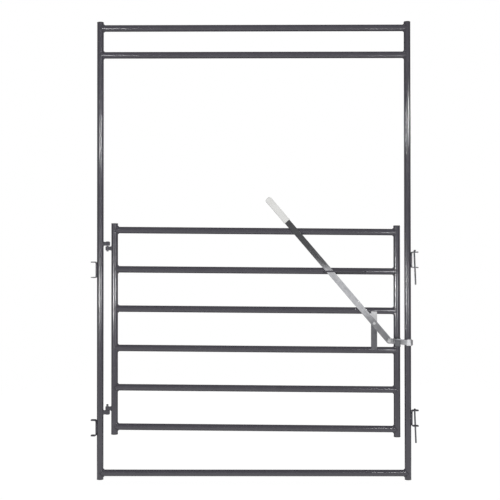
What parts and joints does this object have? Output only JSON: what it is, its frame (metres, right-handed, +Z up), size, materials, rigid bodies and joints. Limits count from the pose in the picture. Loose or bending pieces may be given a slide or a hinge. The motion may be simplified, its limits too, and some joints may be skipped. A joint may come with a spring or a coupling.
{
  "type": "walk-through stock gate",
  "caption": "Tall tube frame with a railed swing gate on opposed hinge pins, a long lever latch, and drop-pin connectors for joining it to stock panels.",
  "frame": {"origin": "on the ground, on the hinge post's axis", "axes": "+X from the hinge post to the latch post, +Z up, front (the lever's side) towards -Y"},
  "size_m": [1.9067, 0.0612, 2.667],
  "materials": {
    "charcoal_paint": "gloss enamel",
    "tube_plug": "moulded, satin",
    "zinc_plate": "dull zinc plate",
    "bright_fastener": "bright zinc plate",
    "vinyl_grip": "dipped, soft sheen"
  },
  "bodies": {
    "frame": {"hinge_post": "charcoal_paint", "hinge_post_cap": "tube_plug", "hinge_post_foot": "tube_plug", "latch_post": "charcoal_paint", "latch_post_cap": "tube_plug", "latch_post_foot": "tube_plug", "header_top_rail": "charcoal_paint", "header_lower_rail": "charcoal_paint", "ground_rail": "charcoal_paint", "upper_hinge_arm": "charcoal_paint", "upper_hinge_pin": "zinc_plate", "lower_hinge_arm": "charcoal_paint", "lower_hinge_pin": "zinc_plate", "latch_keeper": "zinc_plate", "left_lower_connector": "charcoal_paint", "right_lower_connector": "charcoal_paint", "left_upper_connector": "charcoal_paint", "right_upper_connector": "charcoal_paint"},
    "gate": {"hinge_stile": "charcoal_paint", "hinge_stile_top_plug": "tube_plug", "hinge_stile_bottom_plug": "tube_plug", "latch_stile": "charcoal_paint", "latch_stile_top_plug": "tube_plug", "latch_stile_bottom_plug": "tube_plug", "gate_rail_1": "charcoal_paint", "gate_rail_2": "charcoal_paint", "gate_rail_3": "charcoal_paint", "gate_rail_4": "charcoal_paint", "gate_rail_5": "charcoal_paint", "gate_rail_6": "charcoal_paint", "upper_hinge_eye": "charcoal_paint", "lower_hinge_eye": "charcoal_paint", "bolt_guide": "zinc_plate", "lever_bracket": "zinc_plate", "lever_guide_rod": "charcoal_paint", "lever_pivot_bolt": "bright_fastener", "lever_pivot_nut": "bright_fastener", "lever_pivot_washer": "bright_fastener"},
    "lever": {"lever_bar": "zinc_plate", "lever_grip": "vinyl_grip", "link_bolt": "bright_fastener", "link_nut": "bright_fastener"},
    "latch": {"latch_bar": "zinc_plate"},
    "upper_pin": {"upper_drop_pin": "zinc_plate"},
    "lower_pin": {"lower_drop_pin": "zinc_plate"}
  },
  "joints": [
    {"name": "gate_swing", "type": "hinge", "parent": "frame", "child": "gate", "pos_m": [0.04195, 0, 0.9], "axis": [0, 0, 1], "range_deg": [-110, 110]},
    {"name": "lever_pull", "type": "hinge", "parent": "gate", "child": "lever", "pos_m": [1.593, -0.02567, 0.90955], "axis": [0, 1, 0], "range_deg": [0, 26]},
    {"name": "latch_link", "type": "hinge", "parent": "lever", "child": "latch", "pos_m": [1.67938, -0.03243, 0.80841], "axis": [0, 1, 0], "range_deg": [-44, 0]},
    {"name": "upper_pin_lift", "type": "slide", "parent": "frame", "child": "upper_pin", "axis": [-0.0386, 0, 0.9993], "range_m": [0, 0.2]},
    {"name": "lower_pin_lift", "type": "slide", "parent": "frame", "child": "lower_pin", "axis": [-0.0386, 0, 0.9993], "range_m": [0, 0.2]}
  ],
  "couplings": [
    {"joint": "latch_link", "follows": "lever_pull", "ratio": -1.675}
  ]
}
